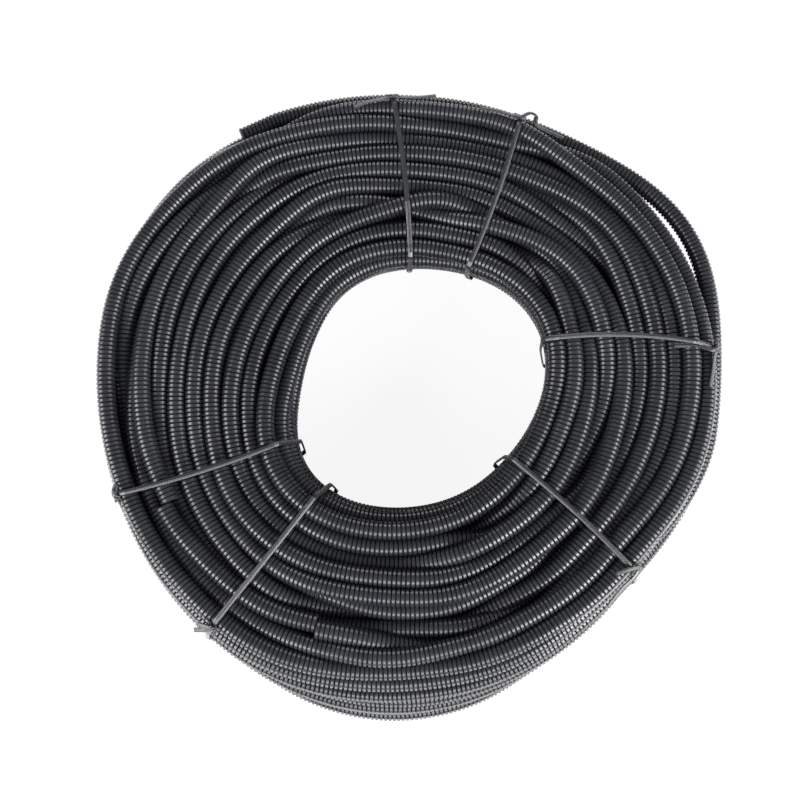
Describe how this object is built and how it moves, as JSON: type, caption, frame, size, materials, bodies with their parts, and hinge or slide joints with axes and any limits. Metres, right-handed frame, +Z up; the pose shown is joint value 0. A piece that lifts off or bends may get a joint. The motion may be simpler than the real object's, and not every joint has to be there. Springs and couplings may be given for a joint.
{
  "type": "corrugated conduit coil",
  "caption": "Coil of black corrugated plastic conduit, wound in hexagonal layers with an open eye and a free cut end, held by flat twist ties.",
  "frame": {"origin": "on the coil's axis, at the level of the floor that its ties lie on", "axes": "+Z up along the coil's axis; +X to the right and +Y away, seen from the front"},
  "size_m": [0.4607, 0.4637, 0.1204],
  "materials": {
    "conduit_polymer": "satin black",
    "tie_polymer": "semi-matte dark grey"
  },
  "bodies": {
    "root": {"conduit_coil": "conduit_polymer", "tie_1": "tie_polymer", "tie_2": "tie_polymer", "tie_3": "tie_polymer", "tie_4": "tie_polymer", "tie_5": "tie_polymer", "tie_6": "tie_polymer"}
  },
  "joints": []
}
